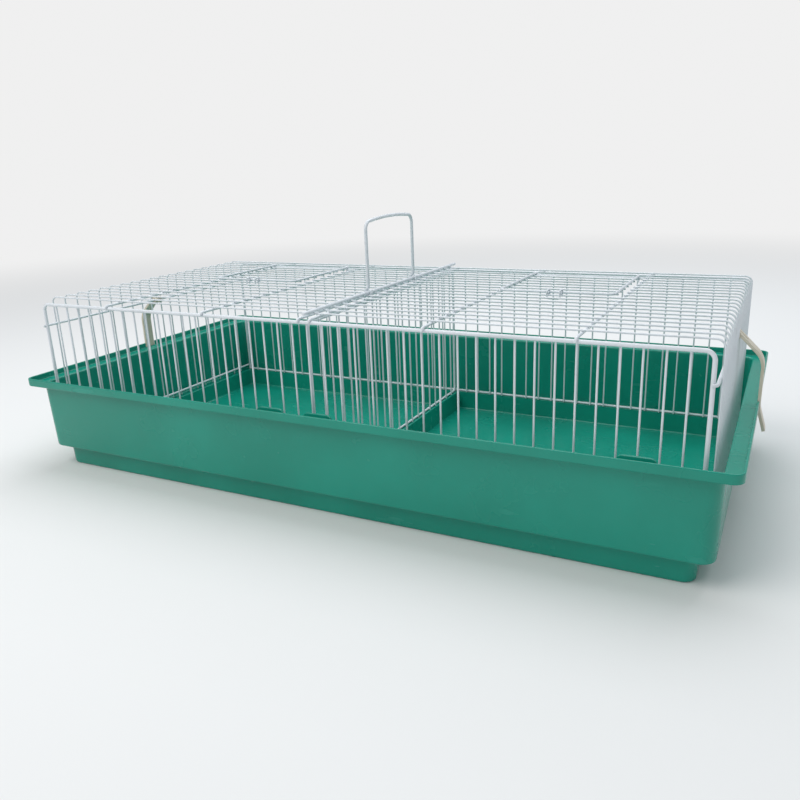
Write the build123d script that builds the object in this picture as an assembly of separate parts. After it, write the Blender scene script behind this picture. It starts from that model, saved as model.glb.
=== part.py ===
from build123d import *
from math import acos, cos, degrees, radians, sqrt, tan
import os

# Bird transport cage: a moulded tray with a welded wire top that lifts off.
# Millimetres. X runs along the cage, Y runs from front to back and Z is up.
# The origin is at the centre of the face that the tray stands on.

# Wire top: overall sizes
cage_length = 780.0          # along a panel, between the centres of its posts
cage_depth = 388.0           # between the centres of the front and back panels
roof_height = 211.0          # centre of the frame wires above the base

# Wire sizes
frame_wire = 4.0
rod_wire = 3.0
mesh_wire = 2.0
door_wire = 3.0
partition_wire = 3.0
latch_wire = 2.0
handle_wire = 4.0
carry_wire = 4.0

# Wire spacing
bar_gaps = 42                # gaps between the upright bars of a panel
mesh_gaps = 36               # gaps between the roof wires, front to back
partition_gaps = 20

# Tray
wall = 2.5
plinth_height = 26.0
rim_height = 118.0           # top of the lip above the base
rim_face = 9.5               # height of the rim's outer face
rim_corner = 10.0
end_flange = 14.5            # width of the rim's flange at the ends
side_flange = 10.5
end_room = 17.0              # from the wire top's centres to the tray's walls, at the flange
side_room = 12.5
body_corner = 14.0
body_draft = 2.0             # how far each wall leans in from the rim to the step
plinth_draft = 1.0
plinth_corner = 12.0
edge_round = 3.0
ridge_width = 10.0
ridge_flare = 2.0            # how much wider each side of the ridge is at the floor
lug_length = 34.0
lug_thickness = 3.0
lug_round = 6.0
centre_lug_places = (-45.0, 15.0)
end_lug_place = 71.0         # from the tray's wall at the right

# Roof rods, doors and handle
inner_rod_place = 134.0
outer_rod_place = 279.0
slot_rod_place = 7.0
door_gap = 5.0               # between a door's frame and the rods beside it
door_wires_open = 12         # roof wire gaps that a door opening spans
door_corner = 6.0
frame_corner = 15.0
partition_corner = 6.0
handle_gaps = 11             # roof wire gaps between the handle's legs
handle_height = 83.0         # top of the legs above the carry rod
handle_bow = 5.0
handle_corner = 10.0
end_upper_rod_drop = 27.5    # below the frame wires
end_lower_rod_rise = 7.2     # above the feet of the wire top
mesh_bend = 8.0

# Latches
latch_width = 14.0
latch_reach = 2.6            # past the roof wire that the latch drops over
latch_drop = 3.0             # below the centre of the roof wires
latch_corner = 2.2

# End clips
clip_thickness = 3.0
clip_finger = 6.6
clip_proud = 1.0             # outside the rim
clip_shoulder_drop = 22.5    # below the rod that carries the clip
clip_bends = (3.0, 24.0, 16.0)
clip_tab_flare = 6.8
clip_tab_length = 23.0
clip_fork = 11.5             # how far the slot between the fingers runs
clip_nub = 1.2
clip_nub_height = 6.0
clip_mouth = 2.4
clip_ring_wall = 2.5

# Clearances
seat_gap = 0.3               # between pieces that rest on each other and move apart
pivot_gap = 0.3              # round a wire that another piece turns on
clip_side_gap = 1.3          # between a clip and the sides of its notch
clip_lip_gap = 0.5           # between a clip and the floor of its notch

# Wraps, and the straight steps that bends are drawn in, in degrees
curl_arc = 180.0             # a rod's end round the wire that holds it
eye_wrap = 276.0             # the handle's eyes round the carry rod
hinge_wrap = 225.0           # a door's curls round the wire that it swings on
wide_step = 45.0
fine_step = 30.0

# Levels and places that follow
bar_pitch = cage_length / bar_gaps
mesh_pitch = cage_depth / mesh_gaps
post_x = cage_length / 2
panel_y = cage_depth / 2
corner_stretch = 2 / sqrt(3)             # corner to corner of a hexagon, per width
plinth_length = cage_length - frame_wire + 2 * wall
plinth_depth = cage_depth - frame_wire + 2 * wall
body_top_length = cage_length + 2 * end_room
body_top_depth = cage_depth + 2 * side_room
rim_length = body_top_length + 2 * end_flange
rim_depth = body_top_depth + 2 * side_flange
lug_places = (*centre_lug_places, body_top_length / 2 - end_lug_place)
flange_top = rim_height - rim_face + wall
ledge_top = plinth_height + wall
foot_level = ledge_top + seat_gap
curl_radius = (frame_wire + rod_wire) / 2
rod_level = roof_height + curl_radius
mesh_level = rod_level + (rod_wire + mesh_wire) / 2
carry_level = mesh_level + (mesh_wire + carry_wire) / 2
end_upper_rod_height = roof_height - end_upper_rod_drop
end_lower_rod_height = foot_level + end_lower_rod_rise
end_rod_x = post_x + curl_radius
clip_shoulder_out = rim_length / 2 + clip_proud - clip_thickness / 2 - end_rod_x
end_wire_x = end_rod_x + (rod_wire + mesh_wire) / 2
bend_x = end_wire_x - mesh_bend
hinge_y = door_wires_open * mesh_pitch
hinge_radius = (mesh_wire * corner_stretch + door_wire) / 2 + pivot_gap
door_level = mesh_level + hinge_radius
door_low_x = inner_rod_place + rod_wire / 2 + door_gap + door_wire / 2
door_high_x = outer_rod_place - rod_wire / 2 - door_gap - door_wire / 2
door_middle_x = (door_low_x + door_high_x) / 2
door_front_y = -mesh_pitch / 2
latch_ring = (door_wire + latch_wire) / 2 + pivot_gap
eye_radius = (carry_wire + handle_wire) / 2 + pivot_gap
handle_y = handle_gaps * mesh_pitch / 2
clip_half_width = mesh_pitch / 2 + clip_finger / 2
partition_y = panel_y - frame_wire / 2 - mesh_wire - partition_wire / 2
last_roof_wire = mesh_gaps // 2 - 1
sides = {"left": -1, "right": 1}

os.makedirs("parts", exist_ok=True)


def save(name, *solids):
    """Write one sub-part, which may be a group of separate solids."""
    pieces = []
    for solid in solids:
        pieces.extend(solid.solids())
    export_step(Compound(children=pieces), f"parts/{name}.step")


def slab(length, depth, corner, level):
    """A rounded rectangle at a height, to loft the tray's walls between."""
    return Pos(0, 0, level) * RectangleRounded(length, depth, corner)


def walls(*slabs):
    """A block whose walls lean evenly from each rounded rectangle to the next."""
    return loft(slabs, ruled=True)


def wire_section(width, turned=False):
    """Six-sided section of a thin wire; turned puts its flats to the sides."""
    return RegularPolygon(width / 2, 6, major_radius=False, rotation=30 if turned else 0)


def heavy_section(width):
    """Eight-sided section of a heavy wire, with flats for the rods that curl round it."""
    return RegularPolygon(width / 2, 8, major_radius=False, rotation=22.5)


def wire_along_x(x_low, x_high, y, z, section):
    across = Plane((x_low, y, z), x_dir=(0, 1, 0), z_dir=(1, 0, 0))
    return extrude(across * section, x_high - x_low)


def wire_upright(x, y, z_low, z_high, section):
    return extrude(Pos(x, y, z_low) * section, z_high - z_low)


def stepped_arc(start, centre, about, angle, step):
    """Corners of a run of straight steps that goes round an arc and touches it between them."""
    count = max(1, round(abs(angle) / step))
    spoke = Vector(start) - Vector(centre)
    reach = 1 / cos(radians(angle / count / 2))
    turn = Axis((0, 0, 0), about)
    return [Vector(centre) + spoke.rotate(turn, angle * (i + 0.5) / count) * reach for i in range(count)]


def stepped_bends(points, radii, step):
    """Points of a wire's path, with straight steps round the bend at each inner point."""
    corners = [Vector(point) for point in points]
    path = [corners[0]]
    for before, corner, after, radius in zip(corners, corners[1:], corners[2:], radii):
        come = (corner - before).normalized()
        go = (after - corner).normalized()
        turn = come.get_angle(go)
        about = come.cross(go).normalized()
        start = corner - come * radius * tan(radians(turn / 2))
        centre = start + about.cross(come) * radius
        path.extend(stepped_arc(start, centre, about, turn, step))
    path.append(corners[-1])
    return path


def bent_wire(section, path, side):
    """A section carried along straight steps with mitred corners; side is its own X."""
    line = Polyline(*path)
    start = Plane(path[0], x_dir=side, z_dir=path[1] - path[0])
    return sweep(start * section, line, transition=Transition.RIGHT)


# Tray

def tray():
    plinth_sole = slab(plinth_length - 2 * (plinth_draft + edge_round),
                       plinth_depth - 2 * (plinth_draft + edge_round), plinth_corner - edge_round, 0)
    plinth_foot = slab(plinth_length - 2 * plinth_draft, plinth_depth - 2 * plinth_draft,
                       plinth_corner, edge_round)
    plinth_head = slab(plinth_length, plinth_depth, plinth_corner, plinth_height)
    body_foot = slab(body_top_length - 2 * body_draft, body_top_depth - 2 * body_draft,
                     body_corner, plinth_height)
    body_head = slab(body_top_length, body_top_depth, body_corner, flange_top - wall)
    plinth = walls(plinth_sole, plinth_foot, plinth_head)
    body = walls(body_foot, body_head)
    body = fillet(body.faces().sort_by(Axis.Z)[0].edges(), edge_round)
    rim = extrude(slab(rim_length, rim_depth, rim_corner, flange_top - wall), rim_face)
    shell = plinth + body + rim

    plinth_hollow = walls(
        slab(plinth_length - 2 * plinth_draft - 2 * wall, plinth_depth - 2 * plinth_draft - 2 * wall,
             plinth_corner - wall, wall),
        slab(plinth_length - 2 * wall, plinth_depth - 2 * wall, plinth_corner - wall, ledge_top))
    body_hollow = walls(
        slab(body_top_length - 2 * body_draft - 2 * wall, body_top_depth - 2 * body_draft - 2 * wall,
             body_corner - wall, ledge_top),
        slab(body_top_length - 2 * wall, body_top_depth - 2 * wall, body_corner - wall, flange_top))
    lip_hollow = extrude(slab(rim_length - 2 * wall, rim_depth - 2 * wall, rim_corner - wall, flange_top),
                         rim_face)
    shell = shell - plinth_hollow - body_hollow - lip_hollow
    shell = shell + ridge() - ridge_hollow()
    for place in lug_places:
        shell = shell + lug(place)
    for side in sides.values():
        shell = shell - clip_notch(side)
    return shell


def ridge_profile(width, flare, low, high):
    """Tapered cross-section of the ridge, as a face across the tray."""
    outline = Polyline((-width / 2 - flare, low), (width / 2 + flare, low),
                       (width / 2, high), (-width / 2, high), close=True)
    return Plane((0, -plinth_depth / 2 + wall / 2, 0), x_dir=(1, 0, 0), z_dir=(0, 1, 0)) * mirror(
        make_face(outline), about=Plane.XZ)


def ridge():
    """Moulded ridge across the floor, which carries the partition."""
    return extrude(ridge_profile(ridge_width, ridge_flare, wall / 2, ledge_top), plinth_depth - wall)


def ridge_hollow():
    """The ridge is a fold of the floor, so it is open underneath."""
    return extrude(
        Plane((0, -plinth_depth / 2 + 2 * wall, 0), x_dir=(1, 0, 0), z_dir=(0, 1, 0)) * mirror(
            make_face(Polyline((-ridge_width / 2 - ridge_flare + wall, 0),
                               (ridge_width / 2 + ridge_flare - wall, 0),
                               (ridge_width / 2 - wall, ledge_top - wall),
                               (-ridge_width / 2 + wall, ledge_top - wall), close=True)),
            about=Plane.XZ),
        plinth_depth - 4 * wall)


def lug(place):
    """Low rounded lug on the inner edge of the front rim."""
    height = rim_height - flange_top
    face = Pos(place, flange_top - wall / 2 + height / 2) * Rectangle(lug_length, height + wall)
    face = fillet(face.vertices().group_by(Axis.Y)[-1], min(lug_round, height))
    front = Plane((0, -body_top_depth / 2 + wall, 0), x_dir=(1, 0, 0), z_dir=(0, -1, 0))
    return extrude(front * face, lug_thickness)


def clip_notch(side):
    """Cut in the lip where an end clip passes down over the rim."""
    floor = end_rod_x + clip_shoulder_out - clip_thickness / 2 - clip_lip_gap
    return Pos(side * (floor + rim_length / 4), 0, rim_height) * Box(
        rim_length / 2, 2 * (clip_half_width + clip_side_gap), 2 * rim_face + wall)


# Front and back panels

def frame_wire_piece(y):
    """Heavy wire of a panel: a post, the top run and the other post."""
    path = stepped_bends([(-post_x, y, foot_level), (-post_x, y, roof_height),
                          (post_x, y, roof_height), (post_x, y, foot_level)],
                         [frame_corner, frame_corner], fine_step)
    return bent_wire(heavy_section(frame_wire), path, (0, 1, 0))


def sill_wire_piece(y):
    """Wire between the posts that the feet of the bars are welded to."""
    inward = 1 if y < 0 else -1
    reach = post_x - frame_wire / 2
    return wire_along_x(-reach, reach, y + inward * (frame_wire - rod_wire) / 2,
                        foot_level + rod_wire / 2, wire_section(rod_wire, turned=True))


def bars(y):
    inward = 1 if y < 0 else -1
    bar_y = y + inward * (frame_wire + mesh_wire) / 2
    bar = wire_upright(0, bar_y, foot_level, roof_height + mesh_wire / 2, wire_section(mesh_wire))
    return [Pos(-post_x + i * bar_pitch, 0, 0) * bar for i in range(1, bar_gaps)]


# Roof and ends

def curled_rod(front, back, front_hub, back_hub, about, section):
    """Rod between two wires, with each end curled round the wire that it is welded to."""
    near = stepped_arc(front, front_hub, about, curl_arc, wide_step)
    far = stepped_arc(back, back_hub, about, -curl_arc, wide_step)
    near_end = Vector(front_hub) * 2 - Vector(front)
    far_end = Vector(back_hub) * 2 - Vector(back)
    path = [near_end] + near[::-1] + far + [far_end]
    return bent_wire(section, path, (1, 0, 0))


def cross_rod(x):
    """Rod over the roof, curled round the front and back frame wires."""
    return curled_rod((x, -panel_y, rod_level), (x, panel_y, rod_level),
                      (x, -panel_y, roof_height), (x, panel_y, roof_height),
                      (1, 0, 0), wire_section(rod_wire))


def end_rod(side, z):
    """Rod across an end, curled round the front and back posts."""
    return curled_rod((side * end_rod_x, -panel_y, z), (side * end_rod_x, panel_y, z),
                      (side * post_x, -panel_y, z), (side * post_x, panel_y, z),
                      (0, 0, -side), wire_section(rod_wire, turned=True))


def roof_wires():
    """Roof wires; those in line with the doors are cut at the rods beside the openings."""
    inner = inner_rod_place + rod_wire / 2
    outer = outer_rod_place - rod_wire / 2
    wires = []
    for i in range(-last_roof_wire, last_roof_wire + 1):
        section = Circle(mesh_wire / 2) if i == door_wires_open else wire_section(mesh_wire)
        if 0 < i < door_wires_open:
            spans = [(-bend_x, -outer), (-inner, inner), (outer, bend_x)]
        else:
            spans = [(-bend_x, bend_x)]
        wires.extend(wire_along_x(low, high, i * mesh_pitch, mesh_level, section) for low, high in spans)
    return wires


def end_wires(side):
    """The roof wires bent down over an end, to the ledge of the tray."""
    path = stepped_bends([(side * bend_x, 0, mesh_level), (side * end_wire_x, 0, mesh_level),
                          (side * end_wire_x, 0, foot_level)], [mesh_bend], wide_step)
    wire = bent_wire(wire_section(mesh_wire), path, (0, 1, 0))
    return [Pos(0, i * mesh_pitch, 0) * wire for i in range(-last_roof_wire, last_roof_wire + 1)]


def carry_rod():
    reach = panel_y + frame_wire / 2
    return extrude(Plane((0, -reach, carry_level), x_dir=(1, 0, 0), z_dir=(0, 1, 0))
                   * Circle(carry_wire / 2), 2 * reach)


# Handle

def leg_foot(y):
    """Path of a leg's foot: a neck that steps aside, then an eye round the carry rod."""
    neck = eye_radius + handle_wire
    rise = sqrt(neck ** 2 - handle_wire ** 2)
    turn = degrees(acos(handle_wire / neck))
    about = (0, -1, 0)
    hub = Vector(0, y, carry_level)
    neck_hub = hub + Vector(-handle_wire, 0, rise)
    bends = stepped_arc(hub + Vector(0, 0, rise), neck_hub, about, -turn, fine_step)
    meet = hub + (neck_hub - hub) * (eye_radius / neck)
    ring = stepped_arc(meet, hub, about, eye_wrap, wide_step)
    end = hub + (meet - hub).rotate(Axis((0, 0, 0), about), eye_wrap)
    return bends + ring + [end]


def handle():
    """One bent wire: an eye, a leg, the bowed grip, the other leg and its eye."""
    top = carry_level + handle_height
    grip = stepped_bends([(0, -handle_y, carry_level), (0, -handle_y, top - handle_bow), (0, 0, top),
                          (0, handle_y, top - handle_bow), (0, handle_y, carry_level)],
                         [handle_corner, handle_y, handle_corner], fine_step)
    path = leg_foot(-handle_y)[::-1] + grip[1:-1] + leg_foot(handle_y)
    return bent_wire(heavy_section(handle_wire), path, (0, 1, 0))


# Partition

def partition_frame():
    """Closed frame of the wire wall, which stands on the ridge between the two centre bars."""
    low = foot_level + partition_wire / 2
    high = roof_height - partition_wire / 2
    path = stepped_bends([(0, 0, low), (0, partition_y, low), (0, partition_y, high),
                          (0, -partition_y, high), (0, -partition_y, low), (0, 0, low)],
                         [partition_corner] * 4, wide_step)
    return bent_wire(heavy_section(partition_wire), path, (1, 0, 0))


def partition_bars():
    pitch = 2 * partition_y / partition_gaps
    bar = wire_upright((partition_wire + mesh_wire) / 2, 0, foot_level, roof_height,
                       wire_section(mesh_wire, turned=True))
    return [Pos(0, -partition_y + i * pitch, 0) * bar for i in range(1, partition_gaps)]


# Doors and latches

def door_frame(side):
    """Bent wire of a door; its two ends curl round the roof wire that it swings on."""
    low = side * door_low_x
    high = side * door_high_x
    sides_and_front = stepped_bends([(low, hinge_y, door_level), (low, door_front_y, door_level),
                                     (high, door_front_y, door_level), (high, hinge_y, door_level)],
                                    [door_corner, door_corner], fine_step)
    curls = []
    for x in (low, high):
        start = Vector(x, hinge_y, door_level)
        hub = Vector(x, hinge_y, mesh_level)
        end = hub + (start - hub).rotate(Axis((0, 0, 0), (-1, 0, 0)), hinge_wrap)
        curls.append(stepped_arc(start, hub, (-1, 0, 0), hinge_wrap, wide_step) + [end])
    path = curls[0][::-1] + sides_and_front[1:-1] + curls[1]
    return bent_wire(heavy_section(door_wire), path, (1, 0, 0))


def door_bars(side):
    """Bars under a door's frame, in line with the roof wires."""
    level = door_level - (door_wire + mesh_wire) / 2
    low = min(side * door_low_x, side * door_high_x) - door_wire / 2
    high = max(side * door_low_x, side * door_high_x) + door_wire / 2
    return [wire_along_x(low, high, i * mesh_pitch, level, wire_section(mesh_wire))
            for i in range(1, door_wires_open)]


def latch(side):
    """Wire loop that turns on a door's front wire and drops over a roof wire."""
    middle = side * door_middle_x
    half = latch_width / 2
    top = door_level + latch_ring
    tip_y = -mesh_pitch - latch_reach
    low = mesh_level - latch_drop
    path = stepped_bends([(middle - half, door_front_y, top), (middle - half, tip_y, top),
                          (middle - half, tip_y, low), (middle + half, tip_y, low),
                          (middle + half, tip_y, top), (middle + half, door_front_y, top)],
                         [latch_corner] * 4, wide_step)
    loop = bent_wire(wire_section(latch_wire), path, (1, 0, 0))
    for x in (middle - half, middle + half):
        across = Plane((x, door_front_y, door_level), x_dir=(0, 1, 0), z_dir=(1, 0, 0))
        ring = Circle(latch_ring + latch_wire / 2) - Circle(latch_ring - latch_wire / 2)
        loop = loop + extrude(across * ring, latch_wire / 2, both=True)
    return loop


# End clips

def end_clip(side):
    """Plastic clip that turns on the end rod and snaps under the rim."""
    ring_inner = rod_wire * corner_stretch / 2 + pivot_gap
    ring_outer = ring_inner + clip_ring_wall
    start = ring_outer - clip_thickness / 2
    slope_out = clip_shoulder_drop + start
    rim_drop = end_upper_rod_height - rim_height
    points = [(0, start), (clip_shoulder_out - slope_out, start), (clip_shoulder_out, -clip_shoulder_drop),
              (clip_shoulder_out, -rim_drop - rim_face),
              (clip_shoulder_out + clip_tab_flare, -rim_drop - rim_face - clip_tab_length)]
    upright = Plane((end_rod_x, 0, end_upper_rod_height), x_dir=(1, 0, 0), z_dir=(0, -1, 0))
    centre = FilletPolyline(*points, radius=clip_bends)
    width = 2 * clip_half_width
    path = upright * centre
    section = Plane(path @ 0, x_dir=(0, 1, 0), z_dir=path % 0) * Rectangle(width, clip_thickness)
    strip = sweep(section, path)
    ring = extrude(upright * (Circle(ring_outer)), width / 2, both=True)
    bore = extrude(upright * Circle(ring_inner), width, both=True)
    mouth = extrude(upright * Pos(-ring_outer / 2, 0) * Rectangle(ring_outer, clip_mouth), width, both=True)
    nub_top = -rim_drop - rim_face - seat_gap
    inner = clip_shoulder_out - clip_thickness / 2
    nub = extrude(upright * make_face(Polyline((clip_shoulder_out, nub_top), (inner - clip_nub, nub_top),
                                               (inner, nub_top - clip_nub_height),
                                               (clip_shoulder_out, nub_top - clip_nub_height), close=True)),
                  width / 2, both=True)
    slot_width = mesh_pitch - clip_finger
    slot = Pos(end_rod_x + clip_fork / 2 - ring_outer, 0, end_upper_rod_height) * Box(
        clip_fork + 2 * ring_outer, slot_width, 4 * ring_outer)
    clip = (strip + ring + nub) - bore - mouth - slot
    return clip if side > 0 else mirror(clip, about=Plane.YZ)


save("tray", tray())
for panel, panel_side in {"front": -1, "back": 1}.items():
    save(f"{panel}_frame_wire", frame_wire_piece(panel_side * panel_y))
    save(f"{panel}_sill_wire", sill_wire_piece(panel_side * panel_y))
    save(f"{panel}_bars", *bars(panel_side * panel_y))
save("roof_wires", *roof_wires())
save("carry_rod", carry_rod())
save("handle", handle())
save("partition_frame", partition_frame())
save("partition_bars", *partition_bars())
for name, side in sides.items():
    save(f"{name}_end_wires", *end_wires(side))
    save(f"{name}_end_upper_rod", end_rod(side, end_upper_rod_height))
    save(f"{name}_end_lower_rod", end_rod(side, end_lower_rod_height))
    save(f"{name}_outer_rod", cross_rod(side * outer_rod_place))
    save(f"{name}_inner_rod", cross_rod(side * inner_rod_place))
    save(f"{name}_slot_rod", cross_rod(side * slot_rod_place))
    save(f"{name}_door_frame", door_frame(side))
    save(f"{name}_door_bars", *door_bars(side))
    save(f"{name}_door_latch", latch(side))
    save(f"{name}_end_clip", end_clip(side))
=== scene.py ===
"""Looks of a bird transport cage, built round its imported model. Metres, X along the cage, Z up."""
import logging
import math
from dataclasses import dataclass, field
from enum import Enum
from typing import Optional, Sequence

import bmesh
import bpy
from mathutils import Matrix, Vector


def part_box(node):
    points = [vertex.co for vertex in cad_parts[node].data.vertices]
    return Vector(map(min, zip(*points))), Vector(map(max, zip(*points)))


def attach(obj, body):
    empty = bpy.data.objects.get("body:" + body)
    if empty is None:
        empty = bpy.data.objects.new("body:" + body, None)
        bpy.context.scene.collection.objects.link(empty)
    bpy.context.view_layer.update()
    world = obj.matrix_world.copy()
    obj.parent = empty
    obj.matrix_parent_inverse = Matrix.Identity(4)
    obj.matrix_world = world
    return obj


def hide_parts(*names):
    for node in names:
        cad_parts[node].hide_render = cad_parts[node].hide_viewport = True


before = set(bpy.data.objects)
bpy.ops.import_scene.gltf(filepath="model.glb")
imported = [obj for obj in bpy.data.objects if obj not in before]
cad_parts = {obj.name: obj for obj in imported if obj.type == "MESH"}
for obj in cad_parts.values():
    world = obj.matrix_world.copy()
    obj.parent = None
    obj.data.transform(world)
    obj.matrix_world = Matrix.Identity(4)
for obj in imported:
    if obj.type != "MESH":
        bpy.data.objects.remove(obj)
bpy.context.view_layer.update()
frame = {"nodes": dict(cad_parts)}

LOG = logging.getLogger("cage")
X_WAY = Vector((1, 0, 0))
Y_WAY = Vector((0, 1, 0))
Z_WAY = Vector((0, 0, 1))
QUARTER = math.pi / 2
SIDES = {"left": -1, "right": 1}
# Points that are nearer than this, in metres, are one point
TOUCH = 1e-6


class Body(Enum):
    """Bodies of the frame that pieces ride on."""

    TRAY = "tray"
    CAGE = "cage"
    HANDLE = "handle"


class Slot(Enum):
    """Material slots of the pieces."""

    TRAY = "tray_plastic"
    WIRE = "white_enamel"
    CLIP = "clip_plastic"


# Shader tools


class Signal:
    """A number that travels between shader nodes, with the usual arithmetic."""

    def __init__(self, bench: "NodeBench", socket: bpy.types.NodeSocket) -> None:
        """Wrap an output socket of a node on the bench."""
        self.bench = bench
        self.socket = socket

    def __add__(self, other: object) -> "Signal":
        """Sum."""
        return self.bench.math("ADD", self, other)

    def __mul__(self, other: object) -> "Signal":
        """Product."""
        return self.bench.math("MULTIPLY", self, other)

    __radd__ = __add__
    __rmul__ = __mul__

    def ramp(self, low: float, high: float) -> "Signal":
        """Rise smoothly from 0 at low to 1 at high, and stay there.

        Args:
            low: The signal's value where the result is 0.
            high: The signal's value where the result is 1.

        Returns:
            The smoothed step.
        """
        settings = {"interpolation_type": "SMOOTHSTEP"}
        values = {"Value": self, "From Min": low, "From Max": high}
        return Signal(self.bench, self.bench.node("ShaderNodeMapRange", settings, values).outputs["Result"])


class NodeBench:
    """A new material and the nodes that are put on it."""

    # Places of a Mix node's colour sockets, whose names other sockets of it share
    MIX_FACTOR = 0
    MIX_FIRST = 6
    MIX_SECOND = 7
    MIX_RESULT = 2

    def __init__(self, name: str) -> None:
        """Start an empty node material.

        Args:
            name: The material's name.
        """
        self.material = bpy.data.materials.new(name)
        self.material.use_nodes = True
        self.tree = self.material.node_tree
        self.tree.nodes.clear()
        self.coordinates = self.node("ShaderNodeTexCoord", {}, {}).outputs["Object"]

    def node(self, kind: str, settings: dict, values: dict) -> bpy.types.Node:
        """Add a node.

        Args:
            kind: The node's type.
            settings: Its own properties, set before its sockets.
            values: What each input socket takes, by name or number: a link or a value.

        Returns:
            The new node.
        """
        made = self.tree.nodes.new(kind)
        for key, value in settings.items():
            setattr(made, key, value)
        for key, value in values.items():
            socket = made.inputs[key]
            source = value.socket if isinstance(value, Signal) else value
            if isinstance(source, bpy.types.NodeSocket):
                self.tree.links.new(source, socket)
            else:
                socket.default_value = source
        return made

    def math(self, operation: str, *operands: object) -> Signal:
        """Add a Math node and return its result."""
        made = self.node("ShaderNodeMath", {"operation": operation}, dict(enumerate(operands)))
        return Signal(self, made.outputs[0])

    def noise(self, scale: float, detail: float, stretch: Sequence[float] = (1, 1, 1)) -> Signal:
        """Cloudy noise over the object.

        Args:
            scale: Patches per metre.
            detail: How many finer layers it has.
            stretch: Scale along each axis, to draw the patches out.

        Returns:
            The noise, about 0.5 on the whole.
        """
        placed = self.node("ShaderNodeMapping", {}, {"Vector": self.coordinates, "Scale": stretch})
        values = {"Vector": placed.outputs[0], "Scale": scale, "Detail": detail}
        return Signal(self, self.node("ShaderNodeTexNoise", {}, values).outputs["Fac"])

    def wander(self, level: float, swing: float, scale: float, detail: float) -> Signal:
        """A number that noise carries about a level, over a swing from its least to its most."""
        return self.noise(scale, detail) * swing + (level - swing / 2)

    def distance(self) -> Signal:
        """Distance from the object's origin, in metres."""
        measured = self.node("ShaderNodeVectorMath", {"operation": "LENGTH"}, {0: self.coordinates})
        return Signal(self, measured.outputs["Value"])

    def tint(self, share: Signal, low: object, high: Sequence[float]) -> bpy.types.NodeSocket:
        """Mix two colours.

        Args:
            share: How much of the second colour shows.
            low: The first colour, linear red, green and blue, or a socket that carries it.
            high: The second colour, linear red, green and blue.

        Returns:
            The mixed colour's socket.
        """
        first = low if isinstance(low, bpy.types.NodeSocket) else (*low, 1)
        values = {self.MIX_FACTOR: share, self.MIX_FIRST: first, self.MIX_SECOND: (*high, 1)}
        return self.node("ShaderNodeMix", {"data_type": "RGBA"}, values).outputs[self.MIX_RESULT]

    def bump(self, height: Signal, distance: float, strength: float) -> bpy.types.NodeSocket:
        """Turn a height into a bent normal.

        Args:
            height: The height, 0 to 1.
            distance: How high 1 is, in metres.
            strength: How much of it shows.

        Returns:
            The normal's socket.
        """
        values = {"Height": height, "Distance": distance, "Strength": strength}
        return self.node("ShaderNodeBump", {}, values).outputs["Normal"]

    def finish(self, values: dict) -> bpy.types.Material:
        """Close the material with its surface.

        Args:
            values: What each socket of the surface takes.

        Returns:
            The finished material.
        """
        surface = self.node("ShaderNodeBsdfPrincipled", {}, values)
        self.node("ShaderNodeOutputMaterial", {}, {"Surface": surface.outputs[0]})
        return self.material


# Finishes


@dataclass(frozen=True)
class TrayPlastic:
    """Glossy green plastic, a little paler where it is scuffed."""

    green: tuple = (0.006, 0.300, 0.215)
    deep_green: tuple = (0.004, 0.255, 0.180)
    scuff_green: tuple = (0.060, 0.400, 0.320)
    roughness: float = 0.26
    scuffing: float = 0.22
    scratch_stretch: tuple = (0.25, 3.0, 1.0)
    grain_height: float = 0.00035

    def material(self) -> bpy.types.Material:
        """Build the finish.

        Returns:
            The material.
        """
        bench = NodeBench("tray_plastic_finish")
        clouds = bench.noise(scale=9.0, detail=4.0).ramp(0.30, 0.72)
        scratches = bench.noise(scale=60.0, detail=2.0, stretch=self.scratch_stretch).ramp(0.64, 0.70)
        patches = bench.noise(scale=14.0, detail=2.0).ramp(0.48, 0.62)
        wear = scratches * patches * self.scuffing
        colour = bench.tint(clouds, self.deep_green, self.green)
        grain = bench.noise(scale=1400.0, detail=1.0) * 0.35 + bench.noise(scale=26.0, detail=1.0)
        return bench.finish({
            "Base Color": bench.tint(wear, colour, self.scuff_green),
            "Roughness": bench.wander(self.roughness, swing=0.12, scale=22.0, detail=3.0) + wear * 0.5,
            "Normal": bench.bump(grain, self.grain_height, strength=0.35),
            "IOR": 1.45,
            "Coat Weight": 0.06,
            "Coat Roughness": 0.08,
        })


@dataclass(frozen=True)
class WhiteEnamel:
    """Thick white coating on steel wire, with a faint grey film here and there. Its white carries a painted
    bluish tint that stands for the cool light.
    """

    # Bluish white: the plain white coating with a painted cool tint of the light mixed in
    white: tuple = (0.74, 0.78, 0.82)
    film: tuple = (0.52, 0.55, 0.55)
    roughness: float = 0.30
    skin_height: float = 0.0002

    def material(self) -> bpy.types.Material:
        """Build the finish.

        Returns:
            The material.
        """
        bench = NodeBench("white_enamel_finish")
        film = bench.noise(scale=18.0, detail=4.0).ramp(0.54, 0.80) * 0.5
        skin = bench.noise(scale=420.0, detail=2.0)
        return bench.finish({
            "Base Color": bench.tint(film, self.white, self.film),
            "Roughness": bench.wander(self.roughness, swing=0.14, scale=120.0, detail=2.0) + film * 0.2,
            "Normal": bench.bump(skin, self.skin_height, strength=0.4),
            "IOR": 1.52,
        })


@dataclass(frozen=True)
class ClipPlastic:
    """Satin cream plastic, yellowed unevenly."""

    cream: tuple = (0.66, 0.61, 0.50)
    yellowed: tuple = (0.55, 0.48, 0.34)
    roughness: float = 0.42
    grain_height: float = 0.0001

    def material(self) -> bpy.types.Material:
        """Build the finish.

        Returns:
            The material.
        """
        bench = NodeBench("clip_plastic_finish")
        age = bench.noise(scale=45.0, detail=3.0).ramp(0.35, 0.75) * 0.6
        grain = bench.noise(scale=900.0, detail=2.0)
        return bench.finish({
            "Base Color": bench.tint(age, self.cream, self.yellowed),
            "Roughness": bench.wander(self.roughness, swing=0.12, scale=160.0, detail=2.0),
            "Normal": bench.bump(grain, self.grain_height, strength=0.5),
            "IOR": 1.49,
        })


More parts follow.
